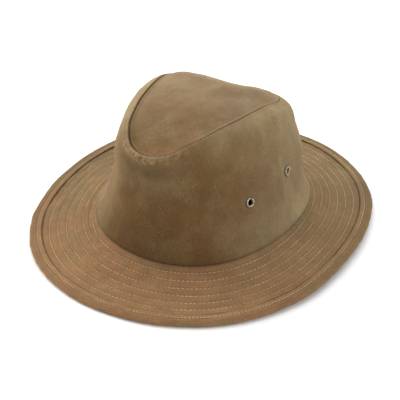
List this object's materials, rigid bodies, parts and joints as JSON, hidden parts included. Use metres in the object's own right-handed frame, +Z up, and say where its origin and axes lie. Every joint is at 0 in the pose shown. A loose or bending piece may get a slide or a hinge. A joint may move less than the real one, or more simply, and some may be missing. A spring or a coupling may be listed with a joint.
{
  "type": "traveller hat",
  "caption": "Sewn cloth hat with a teardrop crown, a quilted bound brim and small metal ventilation eyelets, open inside.",
  "frame": {"origin": "bottom centre of the hat's bounding box, on the surface that the brim rests on", "axes": "-Y is the hat's front, +X the wearer's left, +Z up through the crown"},
  "size_m": [0.2798, 0.3254, 0.1198],
  "materials": {
    "crown_cloth": "khaki brown waxed cotton, dry and suede-like, mottled where it has been handled",
    "tip_cloth": "the same waxed cotton, a little lighter from rubbing",
    "brim_cloth": "the same waxed cotton in two quilted layers, sewn with light tan thread",
    "binding_cloth": "folded strip of the same waxed cotton, polished along the fold",
    "antique_brass": "antiqued brass, dulled, brighter on the rolled rim"
  },
  "bodies": {
    "root": {"crown_side": "crown_cloth", "crown_tip": "tip_cloth", "brim": "brim_cloth", "brim_binding": "binding_cloth", "eyelet_left_front": "antique_brass", "eyelet_left_back": "antique_brass", "eyelet_right_front": "antique_brass", "eyelet_right_back": "antique_brass"}
  },
  "joints": []
}
